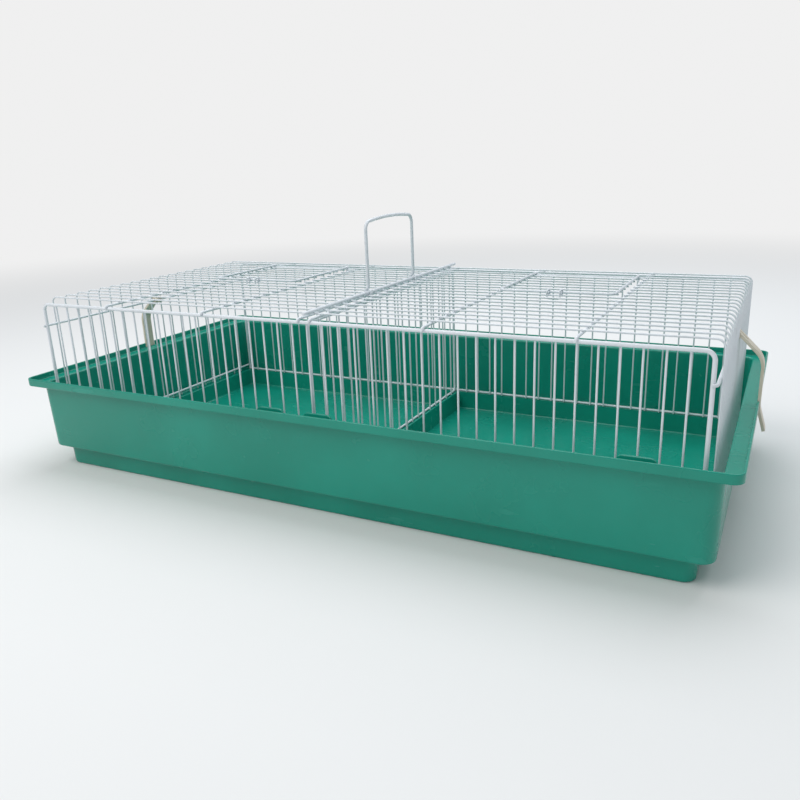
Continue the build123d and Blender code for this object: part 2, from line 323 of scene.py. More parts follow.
@dataclass(frozen=True)
class StagePaint:
    """Matt pale floor, which fades into the white surroundings far from the cage."""

    colour: tuple = (0.80, 0.80, 0.795)
    far_white: tuple = (0.87, 0.87, 0.87)
    black: tuple = (0.0, 0.0, 0.0)
    fade_from: float = 0.9
    fade_to: float = 3.2

    def material(self) -> bpy.types.Material:
        """Build the finish.

        Returns:
            The material.
        """
        bench = NodeBench("stage_paint")
        far = bench.distance().ramp(self.fade_from, self.fade_to)
        return bench.finish({
            "Base Color": bench.tint(far, self.colour, self.black),
            "Emission Color": bench.tint(far, self.black, self.far_white),
            "Emission Strength": 1.0,
            "Roughness": 0.9,
            "Specular IOR Level": 0.0,
        })


# Mesh tools


def ring_edges(points: Sequence[bmesh.types.BMVert]) -> list[bmesh.types.BMEdge]:
    """The edges that join the given points."""
    members = set(points)
    return list({edge for point in points for edge in point.link_edges if edge.other_vert(point) in members})


def crease(shape: bmesh.types.BMesh, angle: float = math.radians(38)) -> None:
    """Point all faces outwards, and shade smoothly except over sharp edges.

    Args:
        shape: The mesh.
        angle: How far an edge may turn and still look smooth.
    """
    bmesh.ops.recalc_face_normals(shape, faces=shape.faces)
    for face in shape.faces:
        face.smooth = True
    for edge in shape.edges:
        edge.smooth = len(edge.link_faces) == 2 and edge.calc_face_angle(0) < angle


def mirrored(shape: bmesh.types.BMesh, axis: str) -> None:
    """Add the mirror image across the origin's plane, and weld the two where they meet.

    Args:
        shape: The mesh.
        axis: The axis that the plane is square to.
    """
    parts = shape.verts[:] + shape.edges[:] + shape.faces[:]
    bmesh.ops.mirror(shape, geom=parts, matrix=Matrix.Identity(4), merge_dist=0.0, axis=axis)
    bmesh.ops.remove_doubles(shape, verts=shape.verts[:], dist=TOUCH)


def moved(shape: bmesh.types.BMesh, by: Vector) -> bmesh.types.BMesh:
    """Shift a whole mesh."""
    bmesh.ops.translate(shape, verts=shape.verts[:], vec=by)
    return shape


def extruded(shape: bmesh.types.BMesh, ring: Sequence[bmesh.types.BMEdge]) -> list[bmesh.types.BMVert]:
    """Extrude a ring of edges where it lies, and return its new points."""
    grown = bmesh.ops.extrude_edge_only(shape, edges=ring)["geom"]
    return [part for part in grown if isinstance(part, bmesh.types.BMVert)]


@dataclass(frozen=True)
class Gauge:
    """A kind of wire: its diameter, and how many sides its section is drawn with."""

    thick: float
    sides: int


class WireBender:
    """Draws a wire as it is bent: straight runs and turns of its section."""

    # Height of a domed end in diameters, and the width and share of that height of each step in it
    DOME = 0.18
    DOME_STEPS = ((0.72, 0.7), (0.35, 0.3))

    def __init__(self, shape: bmesh.types.BMesh, start: Vector, heading: Vector, gauge: Gauge) -> None:
        """Lay the round section at the start.

        Args:
            shape: The mesh that the wire goes into.
            start: Centre of the section.
            heading: Unit vector that the wire sets off along.
            gauge: The kind of wire.
        """
        self.shape = shape
        self.place = Vector(start)
        self.heading = Vector(heading)
        self.dome = gauge.thick * self.DOME
        stand = Matrix.Translation(start) @ heading.to_track_quat("Z", "Y").to_matrix().to_4x4()
        made = bmesh.ops.create_circle(shape, cap_ends=False, segments=gauge.sides, radius=gauge.thick / 2,
                                       matrix=stand)
        self.ring = ring_edges(made["verts"])

    def run(self, length: float) -> "WireBender":
        """Go straight on.

        Args:
            length: How far.

        Returns:
            The bender itself.
        """
        points = extruded(self.shape, self.ring)
        bmesh.ops.translate(self.shape, verts=points, vec=self.heading * length)
        self.ring = ring_edges(points)
        self.place = self.place + self.heading * length
        return self

    def bend(self, angle: float, radius: float, toward: Vector,
             step: float = math.radians(15)) -> "WireBender":
        """Turn round a centre that lies square to the heading.

        Args:
            angle: How far the wire turns.
            radius: From the centre of the turn to the wire's own centre.
            toward: Unit vector from the wire to the centre of the turn.
            step: About how much each facet turns.

        Returns:
            The bender itself.
        """
        centre = self.place + toward * radius
        axis = self.heading.cross(toward)
        steps = max(2, round(angle / step))
        grown = bmesh.ops.spin(self.shape, geom=self.ring, cent=centre, axis=axis, angle=angle, steps=steps,
                               use_merge=False, use_duplicate=False)["geom_last"]
        self.ring = [part for part in grown if isinstance(part, bmesh.types.BMEdge)]
        turn = Matrix.Rotation(angle, 3, axis)
        self.place = centre + turn @ (self.place - centre)
        self.heading = turn @ self.heading
        return self

    def tip(self, ring: Optional[list] = None, way: Optional[Vector] = None) -> "WireBender":
        """Close an end with a small dome, inside the wire's length.

        Args:
            ring: The section's edges, or the last section.
            way: The outward way there, or the heading.

        Returns:
            The bender itself.
        """
        ring = ring or self.ring
        way = way or self.heading
        points = list({point for edge in ring for point in edge.verts})
        bmesh.ops.translate(self.shape, verts=points, vec=-way * self.dome)
        for width, rise in self.DOME_STEPS:
            points = extruded(self.shape, ring)
            bmesh.ops.translate(self.shape, verts=points, vec=way * self.dome * rise)
            middle = sum((point.co for point in points), Vector()) / len(points)
            bmesh.ops.scale(self.shape, verts=points, vec=(width,) * 3, space=Matrix.Translation(-middle))
            ring = ring_edges(points)
        bmesh.ops.edgeloop_fill(self.shape, edges=ring)
        return self


def straight_wire(shape: bmesh.types.BMesh, start: Vector, heading: Vector, length: float,
                  gauge: Gauge) -> None:
    """Add one straight wire with domed ends.

    Args:
        shape: The mesh that it goes into.
        start: Its first end.
        heading: Unit vector along it.
        length: Its length.
        gauge: The kind of wire.
    """
    wire = WireBender(shape, start, heading, gauge)
    first = list(wire.ring)
    wire.run(length).tip()
    wire.tip(first, -heading)


def rounded_ring(shape: bmesh.types.BMesh, half_length: float, half_depth: float, corner: float,
                 level: float, steps: int = 8) -> list[bmesh.types.BMEdge]:
    """Lay a rounded rectangle, lying flat, and return its edges.

    Args:
        shape: The mesh that it goes into.
        half_length: Half its size along X.
        half_depth: Half its size along Y.
        corner: Radius of its corners.
        level: Its height.
        steps: Facets in each corner.

    Returns:
        The edges of its outline.
    """
    stand = Matrix.Translation((0, 0, level)) @ Matrix.Diagonal((half_length, half_depth, 1, 1))
    corners = bmesh.ops.create_grid(shape, x_segments=1, y_segments=1, size=1, matrix=stand)["verts"]
    made = bmesh.ops.bevel(shape, geom=corners, offset=corner, affect="VERTICES", segments=steps,
                           profile=0.5, material=-1)
    sheet = next(iter(made["verts"])).link_faces[0]
    edges = list(sheet.edges)
    bmesh.ops.delete(shape, geom=[sheet], context="FACES_ONLY")
    return edges


class WallDrawer:
    """Draws a moulding's wall: a rounded rectangle that grows, shrinks and rises step by step."""

    def __init__(self, shape: bmesh.types.BMesh, place: Vector) -> None:
        """Lay and close the first ring.

        Args:
            shape: The mesh that the wall goes into.
            place: Half length, half depth, corner radius and level of the ring.
        """
        self.shape = shape
        self.ring = rounded_ring(shape, *place)
        bmesh.ops.edgeloop_fill(shape, edges=self.ring)
        half_length, half_depth, corner, _ = place
        self.spokes = {}
        for point in {point for edge in self.ring for point in edge.verts}:
            sign = Vector((math.copysign(1, point.co.x), math.copysign(1, point.co.y)))
            hub = Vector((sign.x * (half_length - corner), sign.y * (half_depth - corner)))
            self.spokes[point] = (sign, (point.co.xy - hub) / corner)

    def draw(self, place: Vector) -> None:
        """Carry the wall on to another ring.

        Args:
            place: Half length, half depth, corner radius and level of that ring.
        """
        half_length, half_depth, corner, level = place
        points = extruded(self.shape, self.ring)
        spokes = {}
        for point in points:
            root = next(edge.other_vert(point) for edge in point.link_edges
                        if edge.other_vert(point) in self.spokes)
            sign, way = self.spokes[root]
            point.co.x = sign.x * (half_length - corner) + way.x * corner
            point.co.y = sign.y * (half_depth - corner) + way.y * corner
            point.co.z = level
            spokes[point] = (sign, way)
        self.spokes = spokes
        self.ring = ring_edges(points)

    def close(self) -> None:
        """Fill the last ring."""
        bmesh.ops.edgeloop_fill(self.shape, edges=self.ring)


@dataclass(frozen=True)
class Turn:
    """A corner of a moulding's profile, with the round that it has there."""

    half_length: float
    half_depth: float
    corner: float
    level: float
    round: float

    def place(self) -> Vector:
        """The corner as one point of four numbers."""
        return Vector((self.half_length, self.half_depth, self.corner, self.level))

    def reach(self, other: "Turn") -> float:
        """Distance to another corner, across and up."""
        return math.hypot(self.half_length - other.half_length, self.level - other.level)


def rounded_profile(turns: Sequence[Turn], steps: int = 5, most: float = 0.45) -> list[Vector]:
    """Ease each corner of a profile, and keep its two ends as they are.

    Args:
        turns: The profile's corners.
        steps: Facets in each eased corner.
        most: The largest share of a side that one corner's ease takes up.

    Returns:
        The points to lay a ring at.
    """
    points = [turns[0].place()]
    for before, here, after in zip(turns, turns[1:], turns[2:]):
        entry = here.place().lerp(before.place(), min(most, here.round / before.reach(here)))
        leave = here.place().lerp(after.place(), min(most, here.round / after.reach(here)))
        for step in range(steps + 1):
            share = step / steps
            points.append(entry.lerp(here.place(), share).lerp(here.place().lerp(leave, share), share))
    points.append(turns[-1].place())
    return points


def to_mesh(shape: bmesh.types.BMesh, name: str) -> bpy.types.Object:
    """Write a mesh to a new object in the scene.

    Args:
        shape: The mesh, which is freed.
        name: The object's name.

    Returns:
        The object.
    """
    mesh = bpy.data.meshes.new(name)
    shape.to_mesh(mesh)
    shape.free()
    made = bpy.data.objects.new(name, mesh)
    bpy.context.scene.collection.objects.link(made)
    return made


def solid(shape: bmesh.types.BMesh, name: str) -> bpy.types.Object:
    """Turn a closed mesh's faces outwards and write it to a new object."""
    bmesh.ops.recalc_face_normals(shape, faces=shape.faces)
    return to_mesh(shape, name)


def block(place: Sequence[float], size: Sequence[float]) -> bmesh.types.BMesh:
    """Make a box.

    Args:
        place: Its middle.
        size: Its length along each axis.

    Returns:
        Its mesh.
    """
    shape = bmesh.new()
    bmesh.ops.create_cube(shape, size=1, matrix=Matrix.Translation(place) @ Matrix.Diagonal((*size, 1)))
    return shape


def runs_along(edge: bmesh.types.BMEdge, axis: str) -> bool:
    """Whether an edge's two points lie apart along x, y or z."""
    first, last = (getattr(point.co, axis) for point in edge.verts)
    return abs(first - last) > TOUCH


def eased(shape: bmesh.types.BMesh, edges: Sequence[bmesh.types.BMEdge], radius: float, steps: int,
          clamp: bool = False) -> None:
    """Round some edges off.

    Args:
        shape: The mesh.
        edges: The edges.
        radius: How far the round reaches on either side of an edge.
        steps: Facets in each round.
        clamp: Whether rounds that would run into each other are made smaller.
    """
    bmesh.ops.bevel(shape, geom=edges, offset=radius, affect="EDGES", segments=steps, profile=0.5,
                    material=-1, clamp_overlap=clamp)


def carved(base: bpy.types.Object, others: Sequence[bpy.types.Object], operation: str) -> None:
    """Join solids to a base, or cut them from it, and remove them.

    Args:
        base: The object that changes.
        others: The solids.
        operation: UNION or DIFFERENCE.
    """
    for other in others:
        step = base.modifiers.new(operation.lower(), "BOOLEAN")
        step.operation = operation
        step.solver = "EXACT"
        step.object = other
    bpy.context.view_layer.update()
    ready = base.evaluated_get(bpy.context.evaluated_depsgraph_get())
    mesh = bpy.data.meshes.new_from_object(ready)
    base.modifiers.clear()
    base.data = mesh
    for other in others:
        bpy.data.objects.remove(other)


class Finisher:
    """Hands each finished piece its material and its place in the frame."""

    def __init__(self) -> None:
        """Mix the finishes."""
        self.materials = {
            Slot.TRAY: TrayPlastic().material(),
            Slot.WIRE: WhiteEnamel().material(),
            Slot.CLIP: ClipPlastic().material(),
        }

    def hand_in(self, piece: bpy.types.Object, body: str, slot: Slot, nodes: Sequence[str]) -> None:
        """Dress a piece and let it stand for its nodes.

        Args:
            piece: The object.
            body: The body that it rides on.
            slot: Its material slot.
            nodes: The nodes that it stands for.
        """
        piece.data.materials.clear()
        piece.data.materials.append(self.materials[slot])
        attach(piece, body)
        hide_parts(*nodes)
        LOG.info("%s: %d faces on %s", piece.name, len(piece.data.polygons), body)

    def wire(self, shape: bmesh.types.BMesh, node: str, body: str = Body.CAGE.value) -> None:
        """Finish a piece of wire that stands for one node.

        Args:
            shape: Its mesh.
            node: The node.
            body: The body that it rides on.
        """
        crease(shape)
        self.hand_in(to_mesh(shape, node + "_finished"), body, Slot.WIRE, [node])


def middle_of(node: str) -> Vector:
    """The middle of a node's box."""
    low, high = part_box(node)
    return (low + high) / 2


# Tray


@dataclass
class Tray:
    """Moulded tray: a plinth, a step, leaning walls and a flange with an upturned lip."""

    finisher: Finisher
    wall: float = 0.0025
    plinth_height: float = 0.026
    rim_face: float = 0.0095
    rim_corner: float = 0.010
    end_flange: float = 0.0145
    side_flange: float = 0.0105
    body_corner: float = 0.014
    body_draft: float = 0.002
    plinth_corner: float = 0.012
    plinth_draft: float = 0.001
    ridge_width: float = 0.010
    ridge_flare: float = 0.002
    lug_length: float = 0.034
    lug_thickness: float = 0.003
    lug_shoulder: float = 0.0055
    lug_ease: float = 0.0006
    lug_places: tuple = (-0.045, 0.015, 0.336)
    notch_half_width: float = 0.010
    soft: float = 0.0028
    crisp: float = 0.0012
    crease_angle: float = math.radians(32)
    rim: Vector = field(init=False)
    ledge: float = field(init=False)
    flange: float = field(init=False)
    plinth_x: float = field(init=False)
    plinth_y: float = field(init=False)

    def __post_init__(self) -> None:
        """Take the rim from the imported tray, and the plinth from the posts that stand in it."""
        self.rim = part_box("tray")[1]
        self.ledge = self.plinth_height + self.wall
        self.flange = self.rim.z - self.rim_face + self.wall
        post_low, post_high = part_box("front_frame_wire")
        frame_wire = post_high.y - post_low.y
        self.plinth_x = post_high.x - frame_wire + self.wall
        self.plinth_y = -post_low.y - frame_wire + self.wall

    def build(self) -> None:
        """Mould the tray with its ridge, lugs and clip notches."""
        base = to_mesh(self.shell(), "tray_finished")
        carved(base, [self.ridge(), *(self.lug(place) for place in self.lug_places)], "UNION")
        carved(base, [self.ridge_hollow(), *(self.notch(side) for side in SIDES.values())], "DIFFERENCE")
        shape = bmesh.new()
        shape.from_mesh(base.data)
        crease(shape, self.crease_angle)
        shape.to_mesh(base.data)
        shape.free()
        self.finisher.hand_in(base, Body.TRAY.value, Slot.TRAY, ["tray"])

    def turns(self) -> list[Turn]:
        """Lay out the profile.

        Returns:
            Its corners, from the floor up inside, over the lip and down outside to the sole.
        """
        wall = self.wall
        rim_x = self.rim.x
        rim_y = self.rim.y
        body_x = rim_x - self.end_flange
        body_y = rim_y - self.side_flange
        lean = self.body_draft
        return [
            Turn(self.plinth_x - wall - self.plinth_draft, self.plinth_y - wall - self.plinth_draft,
                 self.plinth_corner - wall, wall, self.soft),
            Turn(self.plinth_x - wall, self.plinth_y - wall, self.plinth_corner - wall,
                 self.ledge, self.crisp),
            Turn(body_x - wall - lean, body_y - wall - lean, self.body_corner - wall, self.ledge, self.soft),
            Turn(body_x - wall, body_y - wall, self.body_corner - wall, self.flange, self.soft),
            Turn(rim_x - wall, rim_y - wall, self.rim_corner - wall, self.flange, self.crisp),
            Turn(rim_x - wall, rim_y - wall, self.rim_corner - wall, self.rim.z, self.crisp),
            Turn(rim_x, rim_y, self.rim_corner, self.rim.z, self.crisp),
            Turn(rim_x, rim_y, self.rim_corner, self.flange - wall, self.crisp),
            Turn(body_x, body_y, self.body_corner, self.flange - wall, self.crisp),
            Turn(body_x - lean, body_y - lean, self.body_corner, self.plinth_height, self.soft),
            Turn(self.plinth_x, self.plinth_y, self.plinth_corner, self.plinth_height, self.crisp),
            Turn(self.plinth_x - self.plinth_draft, self.plinth_y - self.plinth_draft,
                 self.plinth_corner, 0, self.soft),
        ]

    def shell(self) -> bmesh.types.BMesh:
        """Draw the wall through the profile's rings, from the floor to the sole.

        Returns:
            The wall, closed by the floor and the sole.
        """
        turns = self.turns()
        inner = turns[0]
        outer = turns[-1]
        margin = 2 * self.soft
        middle = Turn(inner.half_length - margin, inner.half_depth - margin, inner.corner, inner.level, 0)
        sole = Turn(outer.half_length - margin, outer.half_depth - margin, outer.corner, outer.level, 0)
        first, *others = rounded_profile([middle, *turns, sole])
        shape = bmesh.new()
        wall = WallDrawer(shape, first)
        for place in others:
            wall.draw(place)
        wall.close()
        bmesh.ops.recalc_face_normals(shape, faces=shape.faces)
        return shape

    def fold(self, name: str, base_width: float, top_width: float, low: float, high: float, half_depth: float,
             ease: float) -> bpy.types.Object:
        """A tapered bar that runs from front to back.

        Args:
            name: The object's name.
            base_width: Its width at the foot.
            top_width: Its width at the top.
            low: Height of its foot.
            high: Height of its top.
            half_depth: Half its length along Y.
            ease: Radius of its top edges.

        Returns:
            The bar.
        """
        middle = (low + high) / 2
        shape = block((0, 0, middle), (base_width, 2 * half_depth, high - low))
        top = [point for point in shape.verts if point.co.z > middle]
        bmesh.ops.scale(shape, verts=top, vec=(top_width / base_width, 1, 1))
        if ease:
            edges = [edge for edge in shape.edges
                     if all(point in top for point in edge.verts) and not runs_along(edge, "x")]
            eased(shape, edges, ease, 4)
        return solid(shape, name)

    def ridge(self) -> bpy.types.Object:
        """The fold of the floor that carries the partition."""
        return self.fold("ridge", self.ridge_width + 2 * self.ridge_flare, self.ridge_width, self.wall / 2,
                         self.ledge, self.plinth_y - self.wall / 2, self.crisp)

    def ridge_hollow(self) -> bpy.types.Object:
        """The open underside of the ridge."""
        return self.fold("ridge_hollow", self.ridge_width + 2 * self.ridge_flare - 2 * self.wall,
                         self.ridge_width - 2 * self.wall, -self.wall, self.ledge - self.wall,
                         self.plinth_y - 2 * self.wall, 0)

    def lug(self, place: float) -> bpy.types.Object:
        """A low arched lug on the inner edge of the front rim.

        Args:
            place: Its middle along X.

        Returns:
            The lug.
        """
        low = self.flange - self.wall / 2
        front = -(self.rim.y - self.side_flange - self.wall) - self.lug_thickness / 2
        shape = block((place, front, (low + self.rim.z) / 2),
                      (self.lug_length, self.lug_thickness, self.rim.z - low))
        for is_shoulder, radius, steps in ((True, self.lug_shoulder, 7), (False, self.lug_ease, 2)):
            edges = [edge for edge in shape.edges
                     if all(point.co.z > low + TOUCH for point in edge.verts)
                     and runs_along(edge, "y") == is_shoulder]
            eased(shape, edges, radius, steps)
        return solid(shape, "lug")

    def notch(self, side: int) -> bpy.types.Object:
        """The cut in the lip that an end clip passes through.

        Args:
            side: -1 at the left end, 1 at the right.

        Returns:
            The solid to cut away.
        """
        reach = self.rim.x / 4
        middle = self.rim.x - self.wall + reach / 2
        shape = block((side * middle, 0, self.rim.z),
                      (reach, 2 * self.notch_half_width, 2 * self.rim_face + self.wall))
        return solid(shape, "notch")


# Wire top


@dataclass
class Gauges:
    """The wires of the cage and their spacings."""

    frame: Gauge = Gauge(0.004, 20)
    rod: Gauge = Gauge(0.003, 14)
    mesh: Gauge = Gauge(0.002, 10)
    door: Gauge = Gauge(0.003, 16)
    partition: Gauge = Gauge(0.003, 14)
    latch: Gauge = Gauge(0.002, 12)
    handle: Gauge = Gauge(0.004, 20)
    carry: Gauge = Gauge(0.004, 20)
    bar_gaps: int = 42
    roof_gaps: int = 21
    partition_gaps: int = 20

    def roof_rows(self) -> list[float]:
        """Space the wires that run along the roof like the bars of the panels.

        Returns:
            Their places along Y, from front to back.
        """
        front, back = (middle_of(f"{side}_frame_wire").y for side in ("front", "back"))
        pitch = (back - front) / self.roof_gaps
        return [front + index * pitch for index in range(1, self.roof_gaps)]

    def door_reach(self, name: str) -> tuple[float, float]:
        """Find where a door's opening starts and ends along Y.

        Args:
            name: The door's side.

        Returns:
            The place of the door's front wire and of the wire that it swings on.
        """
        low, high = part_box(f"{name}_door_frame")
        half = self.door.thick / 2
        curl = high.z - half - middle_of("roof_wires").z
        return low.y + half, high.y - half - curl


@dataclass
class CagePart:
    """A part of the wire top: the wires that it goes by, and the finisher that it is handed to."""

    gauges: Gauges
    finisher: Finisher

    def straight(self, node: str, way: Vector, gauge: Gauge) -> None:
        """Lay one straight wire along the middle of its node's box.

        Args:
            node: The node that it stands for.
            way: Unit vector along it.
            gauge: The kind of wire.
        """
        low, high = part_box(node)
        length = (high - low).dot(way)
        shape = bmesh.new()
        straight_wire(shape, middle_of(node) - way * length / 2, way, length, gauge)
        self.finisher.wire(shape, node)

    def uprights(self, node: str, way: Vector, gaps: int, pitch: float) -> None:
        """Stand thin bars in a row, evenly about its middle.

        Args:
            node: The node that they stand for.
            way: Unit vector along the row.
            gaps: How many gaps the row has.
            pitch: From one bar to the next.
        """
        low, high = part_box(node)
        foot = middle_of(node)
        foot.z = low.z
        shape = bmesh.new()
        for index in range(1, gaps):
            start = foot + way * (index - gaps / 2) * pitch
            straight_wire(shape, start, Z_WAY, high.z - low.z, self.gauges.mesh)
        self.finisher.wire(shape, node)


@dataclass
class Panel(CagePart):
    """Front or back of the wire top: a bent frame wire, a sill wire and upright bars."""

    side: str
    corner: float = 0.008
    corner_step: float = math.radians(9)

    def build(self) -> None:
        """Bend the frame wire, lay the sill wire and stand the bars evenly between the posts."""
        node = f"{self.side}_frame_wire"
        low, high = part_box(node)
        half = self.gauges.frame.thick / 2
        post = high.x - half
        top = high.z - half
        shape = bmesh.new()
        wire = WireBender(shape, Vector((0, middle_of(node).y, top)), X_WAY, self.gauges.frame)
        wire.run(post - self.corner).bend(QUARTER, self.corner, -Z_WAY, self.corner_step)
        wire.run(top - self.corner - low.z).tip()
        mirrored(shape, "X")
        self.finisher.wire(shape, node)
        self.straight(f"{self.side}_sill_wire", X_WAY, self.gauges.rod)
        self.uprights(f"{self.side}_bars", X_WAY, self.gauges.bar_gaps, 2 * post / self.gauges.bar_gaps)


@dataclass
class Roof(CagePart):
    """Roof wires, the same wires bent down over the ends, and the rods that they are welded to."""

    bend: float = 0.008
    rod_curl: float = math.radians(95)
    level: float = field(init=False)
    edge: float = field(init=False)

    def __post_init__(self) -> None:
        """Take the height of the roof wires, and how far out they run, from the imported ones."""
        self.level = middle_of("roof_wires").z
        self.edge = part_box("roof_wires")[1].x

    def build(self) -> None:
        """Make the roof, its ends and its rods."""
        self.roof_wires()
        for name, side in SIDES.items():
            self.end_wires(name, side)
            for rod in ("outer", "inner", "slot"):
                self.bent_rod(f"{name}_{rod}_rod", -Z_WAY)
            for rod in ("upper", "lower"):
                self.bent_rod(f"{name}_end_{rod}_rod", -side * X_WAY)
        self.straight("carry_rod", Y_WAY, self.gauges.carry)

    def opening(self, name: str) -> tuple[float, float]:
        """The two ends along X of a door's opening, in line with the rods beside it."""
        first, last = sorted(middle_of(f"{name}_{rod}_rod").x for rod in ("outer", "inner"))
        return first + self.gauges.rod.thick / 2, last - self.gauges.rod.thick / 2

    def spans(self, row: float) -> list[tuple[float, float]]:
        """Cut a roof wire where the doors open.

        Args:
            row: The wire's place along Y.

        Returns:
            The two ends along X of each stretch that is left.
        """
        cuts = [-self.edge]
        for name in SIDES:
            front, hinge = self.gauges.door_reach(name)
            if front < row < hinge:
                cuts.extend(self.opening(name))
        cuts.append(self.edge)
        return list(zip(cuts[::2], cuts[1::2]))

    def roof_wires(self) -> None:
        """Lay the wires along the roof, and the short wires that the doors swing on."""
        stretches = [(row, start, end) for row in self.gauges.roof_rows() for start, end in self.spans(row)]
        stretches += [(self.gauges.door_reach(name)[1], *self.opening(name)) for name in SIDES]
        shape = bmesh.new()
        for row, start, end in stretches:
            wire = WireBender(shape, Vector((start, row, self.level)), X_WAY, self.gauges.mesh)
            first = list(wire.ring)
            wire.run(end - start)
            if end < self.edge:
                wire.tip()
            if start > -self.edge:
                wire.tip(first, -X_WAY)
        self.finisher.wire(shape, "roof_wires")

    def end_wires(self, name: str, side: int) -> None:
        """Carry the roof wires down over one end.

        Args:
            name: The end's name.
            side: -1 at the left end, 1 at the right.
        """
        node = f"{name}_end_wires"
        low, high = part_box(node)
        out = max(abs(low.x), abs(high.x)) - self.gauges.mesh.thick / 2
        shape = bmesh.new()
        for row in self.gauges.roof_rows():
            start = Vector((side * self.edge, row, self.level))
            wire = WireBender(shape, start, side * X_WAY, self.gauges.mesh)
            wire.run(out - self.bend - self.edge + TOUCH).bend(QUARTER, self.bend, -Z_WAY)
            wire.run(self.level - self.bend - low.z).tip()
        self.finisher.wire(shape, node)

    def bent_rod(self, node: str, inward: Vector) -> None:
        """A rod from front to back, its ends bent over the wires that hold it.

        Args:
            node: The node that it stands for.
            inward: Unit vector that its ends are bent along.
        """
        low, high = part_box(node)
        half = self.gauges.rod.thick / 2
        curl = abs((high - low).dot(inward)) / 2 - half
        start = middle_of(node) - inward * curl
        start.y = 0
        shape = bmesh.new()
        rod = WireBender(shape, start, Y_WAY, self.gauges.rod)
        rod.run(high.y - half - curl).bend(self.rod_curl, curl, inward).tip()
        mirrored(shape, "Y")
        self.finisher.wire(shape, node)


@dataclass
class Partition(CagePart):
    """Wire wall across the middle: a closed frame and its bars."""

    corner: float = 0.006

    def build(self) -> None:
        """Bend the frame and stand the bars beside it."""
        low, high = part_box("partition_frame")
        thick = self.gauges.partition.thick
        side = high.y - thick / 2
        shape = bmesh.new()
        wire = WireBender(shape, Vector((0, 0, low.z + thick / 2)), Y_WAY, self.gauges.partition)
        wire.run(side - self.corner).bend(QUARTER, self.corner, Z_WAY)
        wire.run(high.z - low.z - thick - 2 * self.corner).bend(QUARTER, self.corner, -Y_WAY)
        wire.run(side - self.corner)
        mirrored(shape, "Y")
        self.finisher.wire(shape, "partition_frame")
        gaps = self.gauges.partition_gaps
        self.uprights("partition_bars", Y_WAY, gaps, 2 * side / gaps)


@dataclass
class Handle(CagePart):
    """Carrying bail: two eyes on the carry rod, two legs and a bowed grip."""

    corner: float = 0.010
    bow: float = 0.003
    play: float = 0.0003
    eye_wrap: float = math.radians(276)
    grip_step: float = math.radians(1.5)
    corner_step: float = math.radians(8)
    neck_step: float = math.radians(10)
    eye_step: float = math.radians(12)

    def build(self) -> None:
        """Bend one half of the bail and mirror it."""
        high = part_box("handle")[1]
        hub = middle_of("carry_rod").z
        thick = self.gauges.handle.thick
        leg_y = high.y - thick / 2
        slope = 2 * math.atan(self.bow / leg_y)
        grip = (leg_y - self.corner * (1 - math.sin(slope))) / math.sin(slope)
        peak = high.z - thick / 2
        eye = (self.gauges.carry.thick + thick) / 2 + self.play
        neck = eye + thick
        rise = math.sqrt(neck ** 2 - thick ** 2)
        step_aside = math.acos(thick / neck)
        leg = peak - grip * (1 - math.cos(slope)) - self.corner * math.cos(slope) - hub - rise
        shape = bmesh.new()
        wire = WireBender(shape, Vector((0, 0, peak)), Y_WAY, self.gauges.handle)
        wire.bend(slope, grip, -Z_WAY, self.grip_step)
        wire.bend(QUARTER - slope, self.corner, wire.heading.cross(X_WAY), self.corner_step)
        wire.run(leg).bend(step_aside, thick, -X_WAY, self.neck_step)
        toward_hub = (Vector((0, leg_y, hub)) - wire.place).normalized()
        wire.bend(self.eye_wrap, eye, toward_hub, self.eye_step).tip()
        mirrored(shape, "Y")
        self.finisher.wire(shape, "handle", Body.HANDLE.value)


